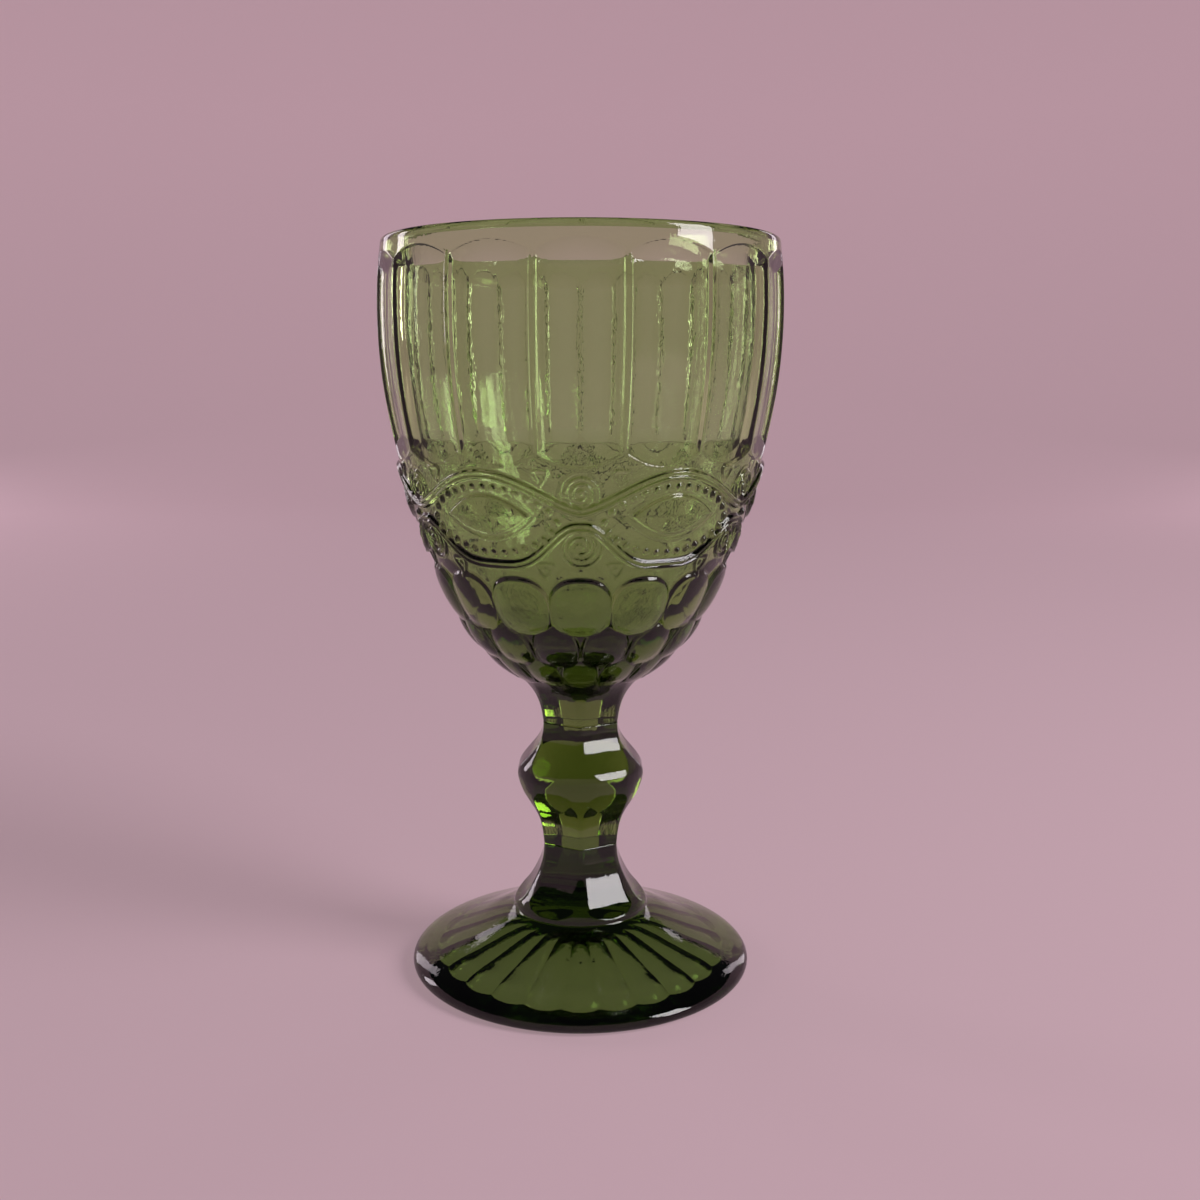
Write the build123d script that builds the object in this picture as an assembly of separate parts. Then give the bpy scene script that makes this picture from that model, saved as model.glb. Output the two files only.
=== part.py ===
from build123d import *
import math
import os

os.makedirs("parts", exist_ok=True)

# A pressed-glass goblet, in millimetres. +Z is up, the axis of the goblet is the Z axis, and the
# origin is the centre of its resting plane. The front is -Y, where a corner of the stem points.

# Heights of the three pieces, which stand on each other at the two necks of the stem
foot_height = 30.0
stem_height = 29.0
bowl_height = 108.0

# Widths across the flats of the hexagonal stem, and diameters of what is round
lower_neck_width = 16.9
upper_neck_width = 17.1
knop_width = 29.2
foot_diameter = 79.6
collar_diameter = 31.4
belly_diameter = 89.3
rim_diameter = 87.1

# Corners of the hexagon stand this far outside its flats
neck_corner = 1.0
knop_corner = 0.4
facet_count = 6

# Bowl: outline stations as height above the upper neck and radius
flare_height = 9.4
flare_radius = 12.5
base_height = 19.0
base_radius = 22.9
lobe_line_height = 38.0
lobe_line_radius = 32.8
band_top_height = 60.5
band_top_radius = 40.7
belly_drop = 15.5
base_facet_height = 13.0
rim_lean = (-0.14, 1)           # direction of the outline where it reaches the rim

# Bowl: glass thickness
wall = 2.7
lobe_wall = 3.6
floor_height = 17.0
rim_round = 1.2

# Bowl: flutes under the rim
flute_count = 15
flute_depth = 0.85
flute_top_drop = 3.5
flute_shoulder = 4.0
flute_gap = 0.8

# Bowl: relief band of almond medallions, with a knot and two rosettes between each pair
medallion_count = 6
medallion_half_height = 10.2
medallion_bottom_gap = 1.8
ribbon_width = 1.8
almond_half_length = 9.4
almond_half_height = 4.2
relief_height = 0.8
relief_root = 1.0
rosette_radius = 5.0
rosette_offset = 5.4

# Bowl: two rows of round lobes under the band
lobe_count = 15
upper_lobe_radius = 6.3
upper_lobe_height = 31.5
upper_lobe_rise = 1.4
lower_lobe_radius = 4.9
lower_lobe_height = 21.8
lower_lobe_rise = 1.1

# Stem
knop_height = 16.3
knop_under_height = 10.3
knop_under_width = 23.4
knop_over_height = 22.4
knop_over_width = 21.6

# Foot: outline of the top, and the hollow underneath
foot_edge_height = 1.8
foot_shoulder_width = 3.8
foot_shoulder_height = 4.3
shoulder_lean = (1, -0.45)      # direction of the outline where the edge's rounding starts
collar_height = 13.8
collar_step = 1.6
foot_flare_height = 20.5
foot_flare_width = 22.4
resting_ring_width = 7.4
foot_edge_round = 1.0
hollow_edge_thickness = 3.4
hollow_centre_height = 7.0
hollow_centre_radius = 10.0

# Foot: rays pressed into the underside
ray_count = 24
ray_depth = 0.7
ray_inner_radius = 12.0
ray_inner_width = 2.6
ray_outer_width = 7.6
ray_end_gap = 0.8

cut_clearance = 5.0
full_turn = 360.0
outline_halvings = 40


def revolved(face):
    """Turn a face drawn in the XZ plane once round the Z axis."""
    return revolve(face, Axis.Z, full_turn)


def closed_face(*curves):
    """Make a face in the XZ plane from curves that meet end to end."""
    edges = [edge for curve in curves for edge in curve.edges()]
    return make_face(Plane.XZ * Wire(edges))


def line(*points):
    return Polyline(*points)


def smooth(points, start, end):
    """A smooth curve through points that leaves along start and arrives along end."""
    return Spline(*points, tangents=[start, end], tangent_scalars=[1, 1])


def around(shape, count, start=0.0):
    """Copies of a shape at equal steps round the Z axis."""
    step = full_turn / count
    return [Rot(0, 0, start + step * i) * shape for i in range(count)]


def flat_cutter(points, half_width, outside):
    """Cut a flat across a round body: everything outside a side outline, cut straight along Y.

    points are (radius, height) from the bottom up, and the curve through them is the flat."""
    curve = Spline(*points) if len(points) > 2 else Line(*points)
    low_height = points[0][1]
    high_height = points[-1][1]
    back = line(points[-1], (outside, high_height), (outside, low_height), points[0])
    return extrude(closed_face(curve, back), half_width, both=True)


lower_neck_z = foot_height
upper_neck_z = foot_height + stem_height
rim_z = upper_neck_z + bowl_height
corner_angle = -90.0
flat_angle = corner_angle + full_turn / facet_count / 2


# ---------------------------------------------------------------- bowl
belly_height = bowl_height - belly_drop
upper_neck_corner_radius = upper_neck_width / 2 + neck_corner
lower_neck_corner_radius = lower_neck_width / 2 + neck_corner
bowl_outside = max(belly_diameter, rim_diameter) / 2 + cut_clearance

bowl_stations = [
    (upper_neck_corner_radius, 0.0),
    (flare_radius, flare_height),
    (base_radius, base_height),
    (lobe_line_radius, lobe_line_height),
    (band_top_radius, band_top_height),
    (belly_diameter / 2, belly_height),
    (rim_diameter / 2, bowl_height),
]
bowl_outline = smooth(bowl_stations, (0, 1), rim_lean)


def bowl_at(height):
    """The bowl's outline at a height above the neck: its radius, and its slope from the upright."""
    low, high = 0.0, 1.0
    for _ in range(outline_halvings):
        middle = (low + high) / 2
        if (bowl_outline @ middle).Y < height:
            low = middle
        else:
            high = middle
    direction = bowl_outline % low
    return (bowl_outline @ low).X, math.degrees(math.atan2(direction.X, direction.Y))


def bowl_radius(height):
    return bowl_at(height)[0]


def bowl_blank():
    """The bowl's outer form, solid, before any relief."""
    closing = line((rim_diameter / 2, bowl_height), (0, bowl_height), (0, 0), (upper_neck_corner_radius, 0))
    body = revolved(closed_face(bowl_outline, closing))
    return fillet(body.edges().group_by(Axis.Z)[-1], rim_round)


def bowl_cavity():
    """What the bowl holds: everything inside its wall, open through the rounded mouth."""
    mouth_radius = rim_diameter / 2 - wall
    wall_height = (band_top_height + belly_height) / 2
    wall_stations = [
        (0, floor_height),
        (lobe_line_radius - lobe_wall, lobe_line_height),
        (band_top_radius - wall, band_top_height),
        (bowl_radius(wall_height) - wall, wall_height),
        (belly_diameter / 2 - wall, belly_height),
        (mouth_radius, bowl_height - rim_round),
    ]
    wall_line = smooth(wall_stations, (1, 0), rim_lean)
    lip_radius = mouth_radius + rim_round
    lip = smooth([wall_stations[-1], (lip_radius, bowl_height)], rim_lean, (1, 0))
    top = bowl_height + cut_clearance
    closing = line((lip_radius, bowl_height), (lip_radius, top), (0, top), (0, floor_height))
    return revolved(closed_face(wall_line, lip, closing))


def flutes():
    """Flat panels round the upper wall, each with a sloped shoulder at its top and bottom."""
    top = bowl_height - flute_top_drop
    bottom = band_top_height + flute_gap
    middle = (top + bottom) / 2
    low, high = bottom + flute_shoulder, top - flute_shoulder
    floor = [(bowl_radius(h) - flute_depth, h) for h in (low, middle, high)]
    start = (bowl_radius(bottom), bottom)
    end = (bowl_radius(top), top)
    edges = [
        Line(start, floor[0]),
        Spline(*floor),
        Line(floor[-1], end),
        line(end, (bowl_outside, top), (bowl_outside, bottom), start),
    ]
    half_width = bowl_outside * math.tan(math.radians(full_turn / flute_count / 2))
    cutter = extrude(closed_face(*edges), half_width, both=True)
    return around(cutter, flute_count, corner_angle)


def base_facets():
    """The six flats of the stem, running up into the bowl's underside."""
    points = [
        (upper_neck_width / 2, 0.0),
        (bowl_radius(flare_height) - neck_corner / 2, flare_height),
        (bowl_radius(base_facet_height), base_facet_height),
    ]
    cutter = flat_cutter(points, base_radius, base_radius + cut_clearance)
    return around(cutter, facet_count, flat_angle)


def almond(half_length, half_height):
    """A pointed oval between two arcs, centred on the origin."""
    upper = ThreePointArc((-half_length, 0), (0, half_height), (half_length, 0))
    lower = ThreePointArc((half_length, 0), (0, -half_height), (-half_length, 0))
    return make_face(Wire([upper, lower]))


def relief_band():
    """Raised ribbons round the six medallions, their middles, and the rosettes between them."""
    centre = lobe_line_height + medallion_bottom_gap + medallion_half_height
    low = centre - rosette_offset - rosette_radius - ribbon_width
    high = centre + rosette_offset + rosette_radius
    heights = [low, centre, high]
    outer = Spline(*[(bowl_radius(h) + relief_height, h) for h in heights])
    inner = Spline(*[(bowl_radius(h) - relief_root, h) for h in heights])
    skin = revolved(closed_face(outer, Line(outer @ 1, inner @ 1), inner, Line(inner @ 0, outer @ 0)))

    half_pitch = math.radians(full_turn / medallion_count / 2)
    half_length = bowl_radius(centre) * math.sin(half_pitch)
    outline = almond(half_length, medallion_half_height)
    inside = almond(half_length - 2 * ribbon_width, medallion_half_height - ribbon_width)
    pattern = outline - inside + almond(almond_half_length, almond_half_height)
    medallion = extrude(Plane.XZ * pattern, bowl_outside)
    spots = Sketch() + [Pos(0, side * rosette_offset) * Circle(rosette_radius) for side in (-1, 1)]
    rosettes = extrude(Plane.XZ * spots, bowl_outside)
    raised = around(Pos(0, 0, centre) * medallion, medallion_count, full_turn / medallion_count / 2)
    raised += around(Pos(0, 0, centre) * rosettes, medallion_count)
    return [skin & piece for piece in raised]


def lobes(radius, height, rise, start):
    """A ring of round lobes: caps of spheres that stand proud of the bowl."""
    ball_radius = (radius**2 + rise**2) / (2 * rise)
    wall_radius, slope = bowl_at(height)
    sink = ball_radius - rise
    ball = Pos(wall_radius, 0, height) * Rot(0, slope, 0) * Pos(-sink, 0, 0) * Sphere(ball_radius)
    return around(ball, lobe_count, start)


def make_bowl():
    half_step = full_turn / lobe_count / 2
    body = bowl_blank()
    body += relief_band()
    body += lobes(upper_lobe_radius, upper_lobe_height, upper_lobe_rise, corner_angle)
    body += lobes(lower_lobe_radius, lower_lobe_height, lower_lobe_rise, corner_angle + half_step)
    body -= flutes()
    body -= base_facets()
    body -= bowl_cavity()
    return Pos(0, 0, upper_neck_z) * body


# ---------------------------------------------------------------- stem
def stem_stations(corner_at_neck, corner_at_knop):
    """The stem's side outline; the two allowances turn its flats into its corners."""
    return [
        (lower_neck_width / 2 + corner_at_neck, 0.0),
        (knop_under_width / 2 + corner_at_neck, knop_under_height),
        (knop_width / 2 + corner_at_knop, knop_height),
        (knop_over_width / 2 + corner_at_neck, knop_over_height),
        (upper_neck_width / 2 + corner_at_neck, stem_height),
    ]


def make_stem():
    corners = stem_stations(neck_corner, knop_corner)
    outline = smooth(corners, (0, 1), (0, 1))
    closing = line(corners[-1], (0, stem_height), (0, 0), corners[0])
    body = revolved(closed_face(outline, closing))
    outside = knop_width / 2 + cut_clearance
    flats = stem_stations(0.0, 0.0)
    curve = smooth(flats, (0, 1), (0, 1))
    back = line(flats[-1], (outside, stem_height), (outside, 0), flats[0])
    cutter = extrude(closed_face(curve, back), outside, both=True)
    body -= around(cutter, facet_count, flat_angle)
    return Pos(0, 0, lower_neck_z) * body


# ---------------------------------------------------------------- foot
foot_radius = foot_diameter / 2
collar_radius = collar_diameter / 2
shoulder_radius = foot_radius - foot_shoulder_width
ring_radius = foot_radius - foot_edge_round - resting_ring_width


def foot_blank():
    """The foot turned round: flare, collar, sloping top, rounded edge and hollow underside."""
    neck = (lower_neck_corner_radius, foot_height)
    flare = (foot_flare_width / 2 + neck_corner / 2, foot_flare_height)
    collar_top = (collar_radius - collar_step / 2, collar_height + collar_step)
    collar_foot = (collar_radius, collar_height)
    shoulder = (shoulder_radius, foot_shoulder_height)
    edge = (foot_radius, foot_edge_height)
    edge_foot = (foot_radius - foot_edge_round, 0.0)
    ring_inside = (ring_radius, 0.0)
    hollow_edge = (ring_radius, foot_shoulder_height - hollow_edge_thickness)
    hollow_inner = (hollow_centre_radius, hollow_centre_height)
    edges = [
        smooth([neck, flare, collar_top], (0, -1), (1, -1)),
        line(collar_top, collar_foot, shoulder),
        smooth([shoulder, edge], shoulder_lean, (0, -1)),
        smooth([edge, edge_foot], (0, -1), (-1, 0)),
        line(edge_foot, ring_inside, hollow_edge, hollow_inner, (0, hollow_centre_height)),
        line((0, hollow_centre_height), (0, foot_height), neck),
    ]
    return revolved(closed_face(*edges))


def flare_facets():
    """The six flats of the stem, running down over the flare to the collar."""
    points = [
        (collar_radius - collar_step / 2, collar_height + collar_step),
        (foot_flare_width / 2, foot_flare_height),
        (lower_neck_width / 2, foot_height),
    ]
    cutter = flat_cutter(points, collar_radius, collar_radius + cut_clearance)
    return around(cutter, facet_count, flat_angle)


def groove_radius(width):
    """The radius of a groove that is width across and ray_depth deep."""
    return (width**2 / 4 + ray_depth**2) / (2 * ray_depth)


def rays():
    """Tapered grooves pressed into the hollow, from near its middle to its edge."""
    outer_radius = ring_radius - ray_end_gap
    hollow_edge_height = foot_shoulder_height - hollow_edge_thickness
    run = ring_radius - hollow_centre_radius
    fall = hollow_centre_height - hollow_edge_height
    slope = math.degrees(math.atan2(fall, run))

    def ceiling(radius):
        return hollow_edge_height + fall * (ring_radius - radius) / run

    length = math.hypot(outer_radius - ray_inner_radius, ceiling(ray_inner_radius) - ceiling(outer_radius))
    inner_ball = groove_radius(ray_inner_width)
    outer_ball = groove_radius(ray_outer_width)
    tilt = math.degrees(math.atan2(outer_ball - inner_ball, length))
    cone = Cone(inner_ball, outer_ball, length, align=(Align.CENTER, Align.CENTER, Align.MIN))
    start = Pos(ray_inner_radius, 0, ceiling(ray_inner_radius) + ray_depth)
    cutter = start * Rot(0, 90 + slope + tilt, 0) * Pos(inner_ball, 0, 0) * cone
    return around(cutter, ray_count, corner_angle)


def make_foot():
    body = foot_blank()
    body -= flare_facets()
    body -= rays()
    return body


pieces = {"bowl": make_bowl, "stem": make_stem, "foot": make_foot}
for name, make in pieces.items():
    export_step(make(), f"parts/{name}.step")
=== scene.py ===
import math

import bpy
import numpy as np
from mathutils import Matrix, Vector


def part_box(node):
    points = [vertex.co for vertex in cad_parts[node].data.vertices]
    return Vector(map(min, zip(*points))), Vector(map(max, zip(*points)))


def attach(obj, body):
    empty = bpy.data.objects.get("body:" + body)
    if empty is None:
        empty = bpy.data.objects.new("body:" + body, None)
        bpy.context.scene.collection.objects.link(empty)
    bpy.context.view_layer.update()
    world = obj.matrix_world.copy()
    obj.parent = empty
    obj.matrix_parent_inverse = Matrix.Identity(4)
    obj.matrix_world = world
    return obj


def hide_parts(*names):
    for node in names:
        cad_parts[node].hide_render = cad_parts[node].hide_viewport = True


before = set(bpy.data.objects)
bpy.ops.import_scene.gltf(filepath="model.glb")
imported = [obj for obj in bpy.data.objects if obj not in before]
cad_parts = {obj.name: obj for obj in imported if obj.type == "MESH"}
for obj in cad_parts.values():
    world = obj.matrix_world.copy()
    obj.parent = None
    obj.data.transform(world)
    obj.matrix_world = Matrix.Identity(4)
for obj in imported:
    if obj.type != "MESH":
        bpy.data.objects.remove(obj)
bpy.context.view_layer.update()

# The goblet is three pieces of pressed glass: bowl, stem and foot. Each is one closed mesh, made of rings
# of points round the axis. Sizes are in millimetres and are turned into metres when a mesh is made.
# Heights are above the floor that the goblet stands on. Angles are in degrees from the front, -Y, and
# grow towards +X.
MM = 0.001
COLUMNS = 1080
ANGLES = np.arange(COLUMNS) * 360.0 / COLUMNS

FOOT_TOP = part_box("foot")[1][2] / MM
BOWL_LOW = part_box("bowl")[0][2] / MM
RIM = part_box("bowl")[1][2] / MM
FOOT_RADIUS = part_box("foot")[1][0] / MM
SEAM = 0.01                     # each piece runs this far into the next, so no gap shows between them

FACETS, FLAT_ANGLE = 6, 30.0    # the hexagon of the stem: a corner points to the front, a flat to 30 degrees
EDGE_SOFTNESS = 0.25            # the reach of the rounding on the hexagon's edges


# ---------------------------------------------------------------- curves and blends
def cubic(xs, ys, at):
    """The natural cubic spline through points, read at new places."""
    xs, ys = np.asarray(xs, float), np.asarray(ys, float)
    n, h = len(xs), np.diff(xs)
    system, right = np.eye(n), np.zeros(n)
    for i in range(1, n - 1):
        system[i, i - 1:i + 2] = h[i - 1], 2 * (h[i - 1] + h[i]), h[i]
        right[i] = 6 * ((ys[i + 1] - ys[i]) / h[i] - (ys[i] - ys[i - 1]) / h[i - 1])
    bend = np.linalg.solve(system, right)
    i = np.clip(np.searchsorted(xs, at) - 1, 0, n - 2)
    a, b = (xs[i + 1] - at) / h[i], (at - xs[i]) / h[i]
    curve = ((a**3 - a) * bend[i] + (b**3 - b) * bend[i + 1]) * h[i]**2 / 6
    return a * ys[i] + b * ys[i + 1] + curve


def path(points, step):
    """A smooth line through (radius, height) points, read about every step."""
    points = np.array(points, float)
    along = np.concatenate([[0], np.cumsum(np.hypot(*np.diff(points, axis=0).T))])
    at = np.linspace(0, along[-1], max(2, int(round(along[-1] / step)) + 1))
    return np.stack([cubic(along, points[:, 0], at), cubic(along, points[:, 1], at)], 1)


def softer_min(a, b, radius):
    """The smaller of two, with the corner between them rounded."""
    mix = np.clip(0.5 + 0.5 * (b - a) / radius, 0, 1)
    return b * (1 - mix) + a * mix - radius * mix * (1 - mix)


def step_up(x, low, high):
    """A smooth step from 0 at low to 1 at high."""
    t = np.clip((x - low) / (high - low), 0, 1)
    return t * t * (3 - 2 * t)


def folded(angle, pitch, start=0.0):
    """The signed angle from the nearest of the features that repeat round the goblet."""
    return (angle - start + pitch / 2) % pitch - pitch / 2


def ridge(distance, half_width):
    """A rounded ridge, 1 high on its line and 0 past its half-width."""
    return np.clip(1 - (distance / half_width)**2, 0, None)**1.5


def hexagon(flat, angle):
    """The radius at an angle of a hexagon whose flats lie flat away from the axis."""
    return flat / np.cos(np.radians(folded(angle, 360.0 / FACETS, FLAT_ANGLE)))


# ---------------------------------------------------------------- bowl: outline and flutes
BOWL_OUTLINE = [                # height and radius
    (59.0, 9.45), (62.5, 10.1), (68.4, 13.1), (73.2, 18.3), (78.0, 22.9), (87.0, 28.6), (97.0, 33.3),
    (108.5, 37.7), (120.0, 40.75), (135.0, 43.6), (151.5, 44.65), (160.0, 44.3), (167.0, 43.55),
]
BASE_FLATS = [                  # height, and distance from the axis of the stem's flats as they fade out
    (59.0, 8.55), (62.5, 9.15), (68.4, 12.3), (73.0, 18.4), (80.0, 30.0),
]
BASE_FLATS_END = 79.0
LIP_HEIGHT = 165.4              # where the rim's rounding starts

FLUTES = 15
FLUTE_LOW, FLUTE_HIGH = 119.6, 163.5
SHOULDER_LOW, SHOULDER_HIGH = 5.0, 4.0
SHOULDER_DEPTH = 1.45           # how deep a shoulder's slope has gone after its own height
FLUTE_DEPTH = 0.80
FLUTE_HOLLOW = 0.42             # a flute's middle lies this much deeper than its sides
RIB_HEIGHT = 0.40
RIB_FOOT, RIB_TOP = 10.6, 11.4  # angle from a flute's middle at which the rib beside it starts, and is full
BORDER_DEPTH, BORDER_REACH = 0.14, 0.07


def bowl_radius(z):
    heights, radii = zip(*BOWL_OUTLINE)
    return cubic(heights, radii, z)


def fluted(z, angle, outer):
    """The wall's radius with the flutes pressed in: slightly hollow panels, with a rib between each two.

    Each has a sloped shoulder at its top and bottom, and a small step all round it."""
    across = folded(angle, 360.0 / FLUTES)
    half = 180.0 / FLUTES
    sunk = FLUTE_DEPTH + FLUTE_HOLLOW * (1 - (across / half)**2)
    sunk = sunk + RIB_HEIGHT * step_up(-np.abs(across), -RIB_TOP, -RIB_FOOT)
    rise_high = np.clip((z - FLUTE_HIGH) / SHOULDER_HIGH + 1, 0, 2)
    rise_low = np.clip((FLUTE_LOW - z) / SHOULDER_LOW + 1, 0, 2)
    depth = SHOULDER_DEPTH * (1 - np.maximum(rise_high, rise_low))
    panel = (outer - np.minimum(sunk, depth)) / np.cos(np.radians(across))
    pressed = outer - panel
    return outer - np.maximum(pressed, 0) - BORDER_DEPTH * step_up(pressed, 0.0, BORDER_REACH)


# ---------------------------------------------------------------- bowl: relief band
# Six medallions, 60 degrees apart, lie between two ribbons, which meet at a knot in front and every 60
# degrees from there. x is the distance along the band from a medallion's middle or from a knot.
MEDALLIONS = 6
MEDALLION_ANGLE = 30.0

KNOT_HEIGHT = 109.3
RIBBON_GAP = 1.6                # from a knot's middle to each ribbon
UPPER_SWING, UPPER_POWER = 7.3, 1.5
LOWER_SWING, LOWER_START = 8.4, 0.06
RIBBON_HEIGHT, RIBBON_FOOT, RIBBON_TOP = 0.30, 1.15, 0.85
EDGE_HEIGHT, EDGE_PLACE, EDGE_HALF_WIDTH = 0.60, 0.52, 0.44

PEARLS, PEARL_RADIUS, PEARL_HEIGHT = 28, 0.76, 0.70
PEARL_RING = (108.7, 15.0, 6.9)  # height of the middle, half-length and half-height of the ring of pearls

ALMOND = (110.0, 9.5, 4.2)      # height of the middle, half-length and half-height
ALMOND_STEP, ALMOND_DOME = 0.50, 0.50
ALMOND_FRAME = (109.8, 11.0, 5.2)
LINE_HEIGHT, LINE_HALF_WIDTH = 0.22, 0.35

ROSETTES = [(114.5, 4.6, 1.30, 1), (103.4, 5.0, 1.35, -1)]  # height, radius, pitch and hand of the spiral
COIL_HEIGHT, COIL_HALF_WIDTH, EYE_HALF_WIDTH = 0.60, 0.36, 0.7

LEAF = (8.2, 118.0, 1.15)       # distance from the knot, height of the middle, and size
HEART = (7.3, 98.6, 1.25)
HEART_DOT_LIFT, HEART_DOT_RADIUS, HEART_DOT_HEIGHT = 0.1, 0.7, 0.26
LEAF_TOP = (119.6, 120.2)       # the leaves fade out between these heights, under the flutes
OUTLINE_HEIGHT, OUTLINE_HALF_WIDTH = 0.34, 0.40


def ribbon_line(angle, upper):
    """Height of the middle of a ribbon round the medallions."""
    wave = np.abs(np.sin(np.radians(angle * MEDALLIONS / 2)))
    if upper:
        return KNOT_HEIGHT + RIBBON_GAP + UPPER_SWING * wave**UPPER_POWER
    return KNOT_HEIGHT - RIBBON_GAP - LOWER_SWING * step_up(wave, LOWER_START, 1.0)


def ribbon(z, angle, radius, upper):
    """A low band with two fine ridges side by side along a ribbon's line."""
    small = 0.2                 # the angle over which the line's slope is measured
    rise = ribbon_line(angle + small, upper) - ribbon_line(angle - small, upper)
    slope = rise / (2 * math.radians(small) * radius)
    off = np.abs(z - ribbon_line(angle, upper)) / np.sqrt(1 + slope**2)
    edges = EDGE_HEIGHT * ridge(off - EDGE_PLACE, EDGE_HALF_WIDTH)
    return RIBBON_HEIGHT * step_up(-off, -RIBBON_FOOT, -RIBBON_TOP) + edges


def pearl_places():
    """Places of the pearls round a medallion's middle: distance along the band and height."""
    centre, half_length, half_height = PEARL_RING
    turn = np.linspace(0, 2 * math.pi, 2001)
    x = half_length * np.cos(turn)
    y = half_height * np.sin(turn) * np.abs(np.sin(turn))**0.3
    along = np.concatenate([[0], np.cumsum(np.hypot(np.diff(x), np.diff(y)))])
    at = np.arange(PEARLS) * along[-1] / PEARLS
    return np.interp(at, along, x), np.interp(at, along, y) + centre


def pearls(x, z):
    height = np.zeros_like(z)
    for place, level in zip(*pearl_places()):
        away = np.hypot(x - place, z - level) / PEARL_RADIUS
        height = np.maximum(height, PEARL_HEIGHT * np.sqrt(np.clip(1 - away**2, 0, None)))
    return height


def almond(x, z):
    """A domed oval with pointed ends, and a fine line round it."""
    centre, half_length, half_height = ALMOND
    across = 1 - (x / half_length)**2
    inside = 1 - np.abs(z - centre) / (half_height * np.clip(across, 1e-3, None))
    inside = np.where(across > 0, inside, -1)
    dome = ALMOND_STEP * step_up(inside, 0.0, 0.10) + ALMOND_DOME * np.sqrt(np.clip(inside, 0, 1))

    centre, half_length, half_height = ALMOND_FRAME
    across = 1 - (x / half_length)**2
    off = np.abs(z - centre) / (half_height * np.clip(across, 1e-3, None)) - 1
    off = np.abs(off) * half_height * np.sqrt(np.clip(across, 0.05, None))
    line = np.where(across > 0, LINE_HEIGHT * ridge(off, LINE_HALF_WIDTH), 0)
    return np.maximum(dome, line)


def spiral(x, y, radius, pitch, hand):
    """A ridge that winds outwards from the middle of a rosette."""
    away = np.hypot(x, y)
    turn = hand * np.arctan2(x, y) / (2 * math.pi)
    phase = (away / pitch - turn) % 1.0
    coil = ridge(np.abs(phase - 0.5) * pitch, COIL_HALF_WIDTH) * step_up(-away, -radius, -radius + 0.5)
    return COIL_HEIGHT * np.maximum(coil, ridge(away, EYE_HALF_WIDTH))


def rounded_triangle(x, y, size):
    """Distance outside an equal-sided triangle that points down, negative inside."""
    slant = math.radians(30)
    right, left = x * math.cos(slant) - y * math.sin(slant), -x * math.cos(slant) - y * math.sin(slant)
    sides = [right, left, y]
    return sum(np.clip(side + 2 * size, 0, None)**8 for side in sides)**(1 / 8) - 3 * size


def leaves_and_hearts(x, z):
    """Outlined triangles at both sides of a knot: leaves over the ribbons, hearts under them."""
    height = np.zeros_like(z)
    for side in (-1, 1):
        place, level, size = LEAF
        away = rounded_triangle(x - side * place, z - level, size)
        leaf = OUTLINE_HEIGHT * ridge(away, OUTLINE_HALF_WIDTH)
        height = np.maximum(height, leaf * step_up(-z, -LEAF_TOP[1], -LEAF_TOP[0]))
        place, level, size = HEART
        away = rounded_triangle(x - side * place, z - level, size)
        height = np.maximum(height, OUTLINE_HEIGHT * ridge(away, OUTLINE_HALF_WIDTH))
        dot = np.hypot(x - side * place, z - level - HEART_DOT_LIFT)
        height = np.maximum(height, HEART_DOT_HEIGHT * ridge(dot, HEART_DOT_RADIUS))
    return height


def relief(z, angle, radius):
    """How far the band of medallions stands proud of the wall."""
    pitch = 360.0 / MEDALLIONS
    x = np.radians(folded(angle, pitch, MEDALLION_ANGLE)) * radius
    knot_x = np.radians(folded(angle, pitch)) * radius
    height = np.maximum(ribbon(z, angle, radius, True), ribbon(z, angle, radius, False))
    for shape in (pearls(x, z), almond(x, z), leaves_and_hearts(knot_x, z)):
        height = np.maximum(height, shape)
    clear_of_ribbon = (
        step_up(z - ribbon_line(angle, True), 0.6, 1.3),
        step_up(ribbon_line(angle, False) - z, 0.6, 1.3),
    )
    for (level, size, coil_pitch, hand), clear in zip(ROSETTES, clear_of_ribbon):
        height = np.maximum(height, spiral(knot_x, z - level, size, coil_pitch, hand) * clear)
    return height


# ---------------------------------------------------------------- bowl: lobes
LOBES = 15
LOBE_ROWS = [                   # height, half-height, half-width, rise, and angle of the first lobe
    (90.2, 6.6, 6.7, 1.6, 0.0),
    (80.6, 4.8, 5.1, 1.5, 12.0),
    (74.0, 4.2, 4.2, 1.1, 0.0),
]
LOBE_ROUNDNESS = 2.5            # 2 makes an oval, and more makes it squarer
LOBE_LINE_PLACE, LOBE_LINE_HEIGHT = 0.90, 0.16


def lobe_row(z, angle, radius, centre, half_height, half_width, rise, start):
    """A row of pillowed lobes with a fine line inside the edge of each."""
    x = np.radians(folded(angle, 360.0 / LOBES, start)) * radius
    y = z - centre
    power = LOBE_ROUNDNESS
    away = (np.abs(x / half_width)**power + np.abs(y / half_height)**power)**(1 / power)
    dome = rise * np.sqrt(np.clip(1 - away**2, 0, None))
    return dome + LOBE_LINE_HEIGHT * ridge((away - LOBE_LINE_PLACE) * half_width, LINE_HALF_WIDTH)


def lobes(z, angle, radius):
    height = np.zeros_like(z)
    for row in LOBE_ROWS:
        height = np.maximum(height, lobe_row(z, angle, radius, *row))
    return height


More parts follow.
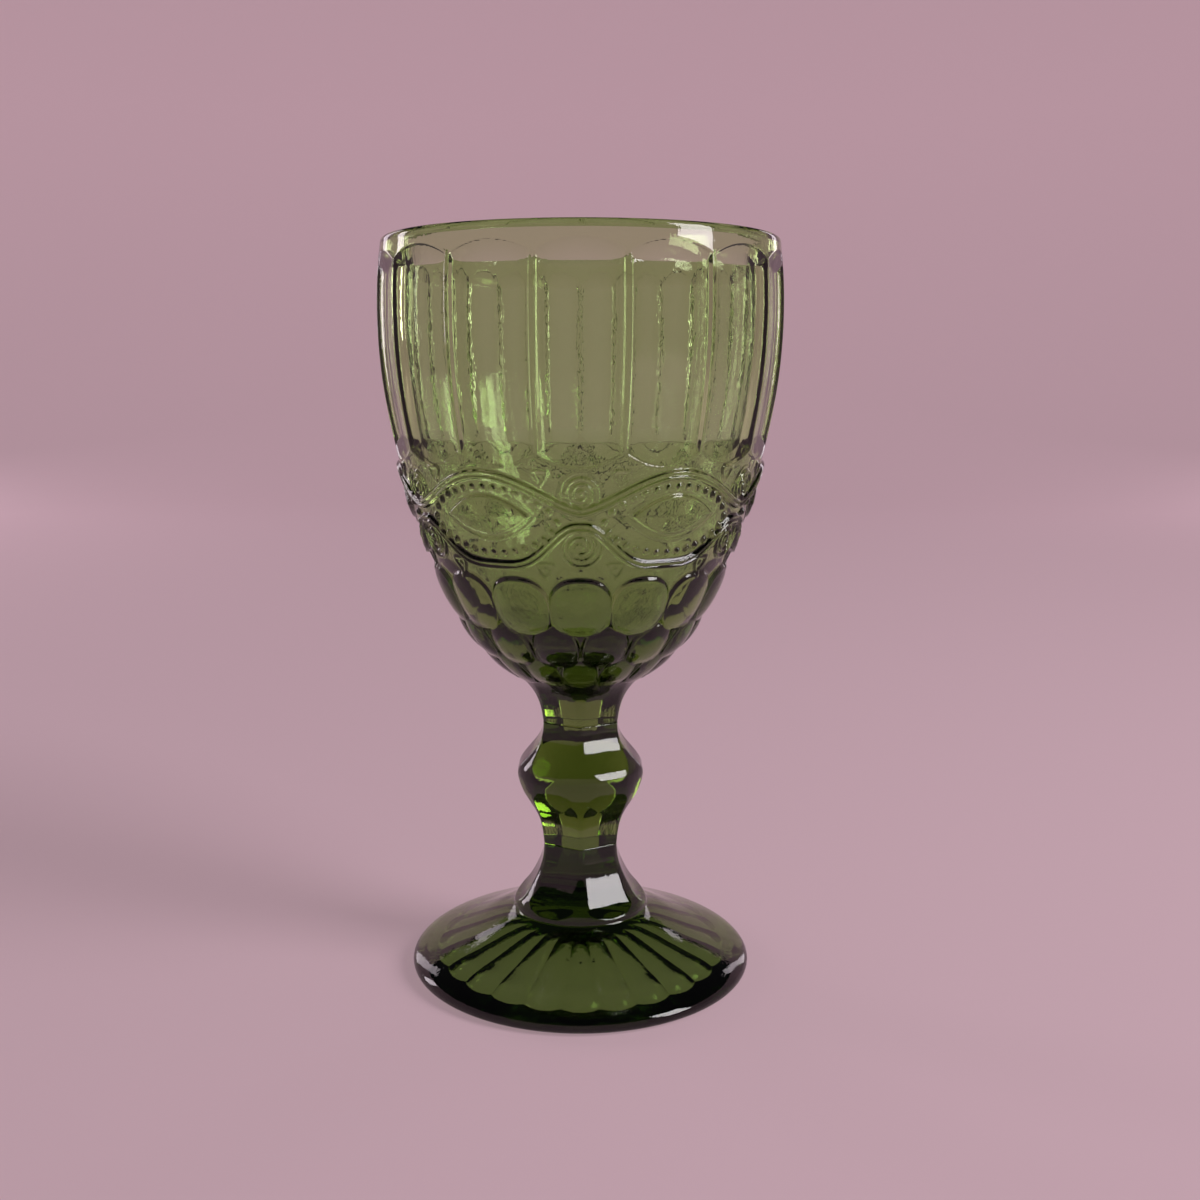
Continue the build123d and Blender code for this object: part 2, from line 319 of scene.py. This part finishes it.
# ---------------------------------------------------------------- bowl: rings
def bowl_outside():
    """Rings up the outside of the bowl, from the neck to the rim's rounding, closest where it is finest."""
    heights = np.concatenate([
        np.arange(BOWL_LOW - SEAM, 66, 0.5),
        np.arange(66, 97, 0.32),
        np.arange(97, 120.4, 0.24),
        np.arange(120.4, 125.6, 0.3),
        np.arange(125.6, 158.6, 1.5),
        np.arange(158.6, 164.6, 0.25),
        [164.9, LIP_HEIGHT],
    ])
    z, angle = np.meshgrid(heights, ANGLES, indexing="ij")
    radius = bowl_radius(z)
    slope = (bowl_radius(z + 0.05) - bowl_radius(z - 0.05)) / 0.1
    lean = np.sqrt(1 + slope**2)

    levels, flats = zip(*BASE_FLATS)
    flat = hexagon(cubic(levels, flats, np.clip(z, levels[0], levels[-1])), angle)
    faceted = np.where(z < BASE_FLATS_END, softer_min(flat, radius, EDGE_SOFTNESS), radius)
    wall = fluted(z, angle, faceted)

    raised = relief(z, angle, radius) + lobes(z, angle, radius)
    out = wall + raised / lean
    up = z - raised * slope / lean
    return np.stack([out, up], 2)


def bowl_rim_and_inside():
    """Rings over the rim and down the inside of the bowl to its middle."""
    outer = float(bowl_radius(np.array(LIP_HEIGHT)))
    inner = outer - 2.65
    rim = [
        (outer, LIP_HEIGHT), (outer - 0.25, 166.45), (outer - 1.25, RIM), (outer - 2.3, 166.5), (inner, 165.2),
    ]
    wall = [
        (inner, 165.2), (41.8, 157), (41.95, 148), (41.0, 136), (38.9, 124), (36.2, 114), (33.0, 105),
        (29.2, 97), (24.6, 89.5), (18.0, 82.3), (11.0, 78.1), (4.0, 76.2), (0.6, 76.0),
    ]
    rings = np.concatenate([path(rim, 0.25)[1:], path(wall, 1.2)[1:]])
    return np.repeat(rings[:, None, :], COLUMNS, 1)


# ---------------------------------------------------------------- stem
STEM_FLATS = [                  # height, and distance of the flats from the axis
    (30.0, 8.45), (34.0, 8.95), (38.0, 10.3), (42.0, 12.8), (44.5, 14.1), (46.4, 14.6), (48.3, 14.2),
    (51.0, 12.1), (54.0, 9.75), (57.0, 8.65), (59.0, 8.55),
]
KNOP_HEIGHT, KNOP_REACH = 46.4, 4.0
CORNER_AT_NECK, CORNER_LOST_AT_KNOP = 1.20, 0.85    # how far the corners stand outside the flats


def stem_rings():
    heights = np.arange(0, 29.001, 0.2) + FOOT_TOP
    heights[0] -= SEAM
    heights[-1] = BOWL_LOW + SEAM
    z, angle = np.meshgrid(heights, ANGLES, indexing="ij")
    levels, flats = zip(*STEM_FLATS)
    flat = cubic(levels, flats, z)
    corner = flat + CORNER_AT_NECK - CORNER_LOST_AT_KNOP * np.exp(-((z - KNOP_HEIGHT) / KNOP_REACH)**2)
    return np.stack([softer_min(hexagon(flat, angle), corner, EDGE_SOFTNESS), z], 2)


# ---------------------------------------------------------------- foot
FLARE = [(9.4, 30.0), (9.85, 26.0), (11.4, 22.0), (13.5, 18.4), (15.1, 16.3), (15.7, 14.9)]
FLARE_FLATS = [                 # height, and distance of the flats from the axis
    (14.9, 15.9), (16.5, 14.0), (18.4, 12.4), (22.0, 10.35), (26.0, 8.9), (30.0, 8.45),
]
RING_INSIDE, RING_OUTSIDE = 31.6, 38.7          # the flat ring that the goblet rests on
TOP = [
    FLARE[-1], (15.75, 14.2), (16.2, 13.7), (20.0, 11.6), (26.0, 8.6), (32.0, 6.1), (36.0, 4.6),
    (38.2, 3.6), (39.4, 2.6), (FOOT_RADIUS, 1.7), (39.5, 0.6), (RING_OUTSIDE, 0.0),
]
UNDER = [
    (RING_OUTSIDE, 0.0), (35.0, 0.0), (RING_INSIDE, 0.0), (30.9, 0.45), (30.0, 1.1), (25.0, 2.9),
    (18.0, 5.2), (10.0, 6.9), (4.0, 7.3), (0.5, 7.3),
]
FOOT_STEP = 0.3
RAYS, RAY_DEPTH = 24, 0.32
RAY_START, RAY_END = (9.0, 14.0), (28.0, 31.4)  # radii between which the rays grow, and fade out
SCALLOP, SCALLOP_START = 1.0, 24.0              # how far the rays' ends reach into the ring, and from where


def foot_rings():
    """Rings down the flare, over the collar, out to the edge, under it and back to the middle."""
    flare = path(FLARE, FOOT_STEP)
    levels, flats = zip(*FLARE_FLATS)
    flat = cubic(levels, flats, flare[:, 1])
    rings = np.repeat(flare[:, None, :], COLUMNS, 1)
    rings[..., 0] = softer_min(hexagon(flat[:, None], ANGLES), rings[..., 0], EDGE_SOFTNESS)
    rings[0, :, 1] += SEAM

    top, under = path(TOP, FOOT_STEP)[1:], path(UNDER, FOOT_STEP)[1:]
    out = np.repeat(np.concatenate([top, under])[:, None, :], COLUMNS, 1)
    radius = out[len(top):, :, 0].copy()
    pitch = 360.0 / RAYS
    petal = 1 - (folded(ANGLES, pitch)[None, :] / (pitch / 2))**2
    reach = step_up(radius, *RAY_START) * step_up(-radius, -RAY_END[1], -RAY_END[0])
    out[len(top):, :, 1] += RAY_DEPTH * petal * reach
    spread = step_up(radius, SCALLOP_START, RING_INSIDE) * step_up(-radius, -RING_OUTSIDE, -RING_INSIDE)
    out[len(top):, :, 0] += SCALLOP * petal * spread
    out[..., 1] = np.maximum(out[..., 1], 0)
    return np.concatenate([rings, out])


# ---------------------------------------------------------------- meshes
def skin(name, rings, material, joints):
    """A closed mesh over rings of (radius, height), with a fan at each end.

    joints says which of the two fans lie inside the glass, where the piece meets the next one."""
    rings = np.asarray(rings)
    count = len(rings)
    turn = np.radians(ANGLES)
    points = np.empty((count * COLUMNS + 2, 3))
    points[:-2, 0] = (rings[..., 0] * np.sin(turn)).ravel()
    points[:-2, 1] = (-rings[..., 0] * np.cos(turn)).ravel()
    points[:-2, 2] = rings[..., 1].ravel()
    points[-2] = 0, 0, rings[0, :, 1].mean()
    points[-1] = 0, 0, rings[-1, :, 1].mean()

    here = np.arange(COLUMNS)
    after = (here + 1) % COLUMNS
    low = np.arange(count - 1)[:, None] * COLUMNS
    quads = np.stack([low + here, low + after, low + COLUMNS + after, low + COLUMNS + here], 2).reshape(-1, 4)
    first = np.stack([np.full(COLUMNS, count * COLUMNS), after, here], 1)
    last = (count - 1) * COLUMNS
    final = np.stack([last + here, last + after, np.full(COLUMNS, count * COLUMNS + 1)], 1)
    corners = np.concatenate([quads.ravel(), first.ravel(), final.ravel()]).astype(np.int32)
    sizes = np.concatenate([np.full(len(quads), 4), np.full(2 * COLUMNS, 3)])
    starts = np.concatenate([[0], np.cumsum(sizes)[:-1]]).astype(np.int32)

    mesh = bpy.data.meshes.new(name)
    mesh.vertices.add(len(points))
    mesh.vertices.foreach_set("co", (points * MM).astype(np.float32).ravel())
    mesh.loops.add(len(corners))
    mesh.loops.foreach_set("vertex_index", corners)
    mesh.polygons.add(len(sizes))
    mesh.polygons.foreach_set("loop_start", starts)
    mesh.polygons.foreach_set("use_smooth", np.ones(len(sizes), bool))
    mesh.update(calc_edges=True)
    mesh.validate()

    inside = np.zeros(len(sizes), np.float32)
    inside[len(quads):len(quads) + COLUMNS] = joints[0]
    inside[len(quads) + COLUMNS:] = joints[1]
    mesh.attributes.new("joint", "FLOAT", "FACE").data.foreach_set("value", inside)
    piece = bpy.data.objects.new(name, mesh)
    bpy.context.scene.collection.objects.link(piece)
    mesh.materials.append(material)
    return piece


# ---------------------------------------------------------------- materials
GLASS_TINT = (0.754, 0.891, 0.63)
FOOT_TINT_WITH_PAINTED_SHADE = (0.33, 0.49, 0.21)          # the foot's green tint, made darker as painted shade for the shadow that the glass casts on the floor under it
GLASS_IOR, NO_BEND = 1.52, 1.0
ABSORPTION_COLOUR, ABSORPTION_DENSITY = (0.59, 0.68, 0.30), 200.0
SMEAR_SCALE, SMEAR_DETAIL, SMEAR_RANGE, SMEAR_ROUGHNESS = 90.0, 5.0, (0.45, 0.75), 0.05
WAVES = [(170.0, 0.00010), (1300.0, 0.000016)]      # scale of the noise and height in metres
WAVE_STRETCH = (1.0, 1.0, 0.45)         # the waves are longer up the goblet than round it


def add(tree, kind, **values):
    """A new node with some of its inputs set."""
    node = tree.nodes.new(kind)
    for name, value in values.items():
        node.inputs[name.replace("_", " ")].default_value = value
    return node


def smears(tree, place):
    """Roughness that changes from place to place, as on handled glass."""
    noise = add(tree, "ShaderNodeTexNoise", Scale=SMEAR_SCALE, Detail=SMEAR_DETAIL)
    tree.links.new(place, noise.inputs["Vector"])
    low, high = SMEAR_RANGE
    gloss = add(tree, "ShaderNodeMapRange", From_Min=low, From_Max=high, To_Min=0.0, To_Max=SMEAR_ROUGHNESS)
    tree.links.new(noise.outputs["Fac"], gloss.inputs["Value"])
    return gloss.outputs["Result"]


def waviness(tree, place):
    """A normal with the waves that the mould leaves: broad soft ones and a fine grain."""
    stretch = add(tree, "ShaderNodeMapping", Scale=WAVE_STRETCH)
    tree.links.new(place, stretch.inputs["Vector"])
    normal = None
    for scale, height in WAVES:
        noise = add(tree, "ShaderNodeTexNoise", Scale=scale, Detail=1.0)
        tree.links.new(stretch.outputs["Vector"], noise.inputs["Vector"])
        bump = add(tree, "ShaderNodeBump", Strength=1.0, Distance=height)
        tree.links.new(noise.outputs["Fac"], bump.inputs["Height"])
        if normal:
            tree.links.new(normal, bump.inputs["Normal"])
        normal = bump.outputs["Normal"]
    return normal


def glass(name, tint):
    """Olive-green pressed glass: tinted at its surface, and coloured by the thickness that light crosses. For
    the foot, the surface tint is darker, as painted shade.

    The fans inside a joint let light straight through: they don't bend, tint or blur it."""
    material = bpy.data.materials.new(name)
    material.use_nodes = True
    tree = material.node_tree
    link = tree.links.new
    shader = tree.nodes["Principled BSDF"]
    shader.inputs["Transmission Weight"].default_value = 1.0
    place = add(tree, "ShaderNodeTexCoord").outputs["Object"]
    joint = add(tree, "ShaderNodeAttribute")
    joint.attribute_name = "joint"

    colour = tree.nodes.new("ShaderNodeMix")
    colour.data_type = "RGBA"
    colour.inputs["A"].default_value = (*tint, 1)
    colour.inputs["B"].default_value = (1, 1, 1, 1)
    link(joint.outputs["Fac"], colour.inputs["Factor"])
    link(colour.outputs["Result"], shader.inputs["Base Color"])

    bend = add(tree, "ShaderNodeMapRange", To_Min=GLASS_IOR, To_Max=NO_BEND)
    link(joint.outputs["Fac"], bend.inputs["Value"])
    link(bend.outputs["Result"], shader.inputs["IOR"])

    roughness = add(tree, "ShaderNodeMix", B=0.0)
    link(joint.outputs["Fac"], roughness.inputs["Factor"])
    link(smears(tree, place), roughness.inputs["A"])
    link(roughness.outputs["Result"], shader.inputs["Roughness"])
    link(waviness(tree, place), shader.inputs["Normal"])

    volume = add(tree, "ShaderNodeVolumeAbsorption", Density=ABSORPTION_DENSITY)
    volume.inputs["Color"].default_value = (*ABSORPTION_COLOUR, 1)
    link(volume.outputs["Volume"], tree.nodes["Material Output"].inputs["Volume"])
    return material


def plain(name, colour, glow):
    """A matt studio surface with a little light of its own, so that it is even."""
    material = bpy.data.materials.new(name)
    material.use_nodes = True
    shader = material.node_tree.nodes["Principled BSDF"]
    shader.inputs["Base Color"].default_value = (*colour, 1)
    shader.inputs["Roughness"].default_value = 1.0
    shader.inputs["Specular IOR Level"].default_value = 0.0
    shader.inputs["Emission Color"].default_value = (*colour, 1)
    shader.inputs["Emission Strength"].default_value = glow
    return material


# ---------------------------------------------------------------- pieces
clear_glass = glass("green_glass", GLASS_TINT)
# the foot gets a darker copy of the same glass: its surface tint is partly painted shade, for the shadow under
# the foot
foot_glass_with_painted_shade = glass("green_glass_foot_painted_shade", FOOT_TINT_WITH_PAINTED_SHADE)
bowl_rings = np.concatenate([bowl_outside(), bowl_rim_and_inside()])
bowl = skin("pressed_bowl", bowl_rings, clear_glass, (True, False))
stem = skin("faceted_stem", stem_rings(), clear_glass, (True, True))
foot = skin("rayed_foot", foot_rings()[::-1], foot_glass_with_painted_shade, (False, True))
for piece, node in ((bowl, "bowl"), (stem, "stem"), (foot, "foot")):
    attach(piece, "root")
    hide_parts(node)


# ---------------------------------------------------------------- stage and light, in metres
FLOOR_GAP = 0.0004              # air between floor and glass, so that the resting ring still mirrors light
FLOOR_RADIUS, COVE_RADIUS, WALL_TOP = 1.2, 0.5, 0.9
STAGE_SIDES, COVE_STEPS = 96, 12
PAPER, PAPER_GLOW = (0.463, 0.326, 0.369), 0.62
WORLD = (0.03, 0.03, 0.032, 1)
LOW_TARGET, HIGH_TARGET = (0, 0, 0.08), (0, 0, 0.10)
ROSE = (1.0, 0.88, 0.96)        # balances the green of the glass in what is seen through it
LAMPS = [                       # name, place, target, width and height, power, colour
    ("window", (0.90, -0.40, 0.62), LOW_TARGET, (0.42, 0.55), 7.5, (1.0, 0.95, 0.97)),
    ("left_fill", (-1.1, 0.6, 0.35), LOW_TARGET, (0.2, 0.5), 1.6, ROSE),
    ("back_left", (-0.80, 1.05, 0.40), HIGH_TARGET, (0.22, 0.8), 1.1, ROSE),
    ("back_right", (0.82, 1.05, 0.40), HIGH_TARGET, (0.16, 0.8), 0.9, ROSE),
]


def stage(material):
    """A round floor that curves up into a low wall, the same from every side."""
    cove = [
        (FLOOR_RADIUS + COVE_RADIUS * math.sin(a), COVE_RADIUS - COVE_RADIUS * math.cos(a))
        for a in np.linspace(0.1, math.pi / 2, COVE_STEPS)
    ]
    profile = [(0.001, 0.0), (FLOOR_RADIUS, 0.0)] + cove + [(FLOOR_RADIUS + COVE_RADIUS, WALL_TOP)]
    turns = np.linspace(0, 2 * math.pi, STAGE_SIDES, endpoint=False)
    points = [(r * math.cos(t), r * math.sin(t), z - FLOOR_GAP) for r, z in profile for t in turns]
    faces = []
    for i in range(len(profile) - 1):
        low, high = i * STAGE_SIDES, (i + 1) * STAGE_SIDES
        for j in range(STAGE_SIDES):
            after = (j + 1) % STAGE_SIDES
            faces.append((low + j, low + after, high + after, high + j))
    mesh = bpy.data.meshes.new("studio_floor")
    mesh.from_pydata(points, [], faces)
    mesh.polygons.foreach_set("use_smooth", [True] * len(faces))
    floor = bpy.data.objects.new("studio_floor", mesh)
    bpy.context.scene.collection.objects.link(floor)
    mesh.materials.append(material)


def area(name, place, target, size, power, colour):
    """A rectangular lamp that points at a target."""
    light = bpy.data.lights.new(name, "AREA")
    light.shape = "RECTANGLE"
    light.size, light.size_y = size
    light.energy = power
    light.color = colour
    lamp = bpy.data.objects.new(name, light)
    lamp.location = place
    away = lamp.location - type(lamp.location)(target)
    lamp.rotation_mode = "QUATERNION"
    lamp.rotation_quaternion = away.to_track_quat("Z", "Y")
    bpy.context.scene.collection.objects.link(lamp)


stage(plain("studio_paper", PAPER, PAPER_GLOW))
for lamp in LAMPS:
    area(*lamp)

scene = bpy.context.scene
scene.view_settings.view_transform = "Standard"
world = bpy.data.worlds.new("studio")
world.use_nodes = True
world.node_tree.nodes["Background"].inputs["Color"].default_value = WORLD
scene.world = world

# ---------------------------------------------------------------- camera
LENS, SENSOR, SHIFT = 39.8, 36.0, 0.0163
EYE, TILT_DOWN = (0, -0.3007, 0.1375), 9.58

camera = bpy.data.cameras.new("camera")
camera.lens, camera.sensor_width = LENS, SENSOR
camera.shift_x = SHIFT
camera.clip_start = 0.01
eye = bpy.data.objects.new("camera", camera)
eye.location = EYE
eye.rotation_euler = (math.radians(90 - TILT_DOWN), 0, 0)
scene.collection.objects.link(eye)
scene.camera = eye
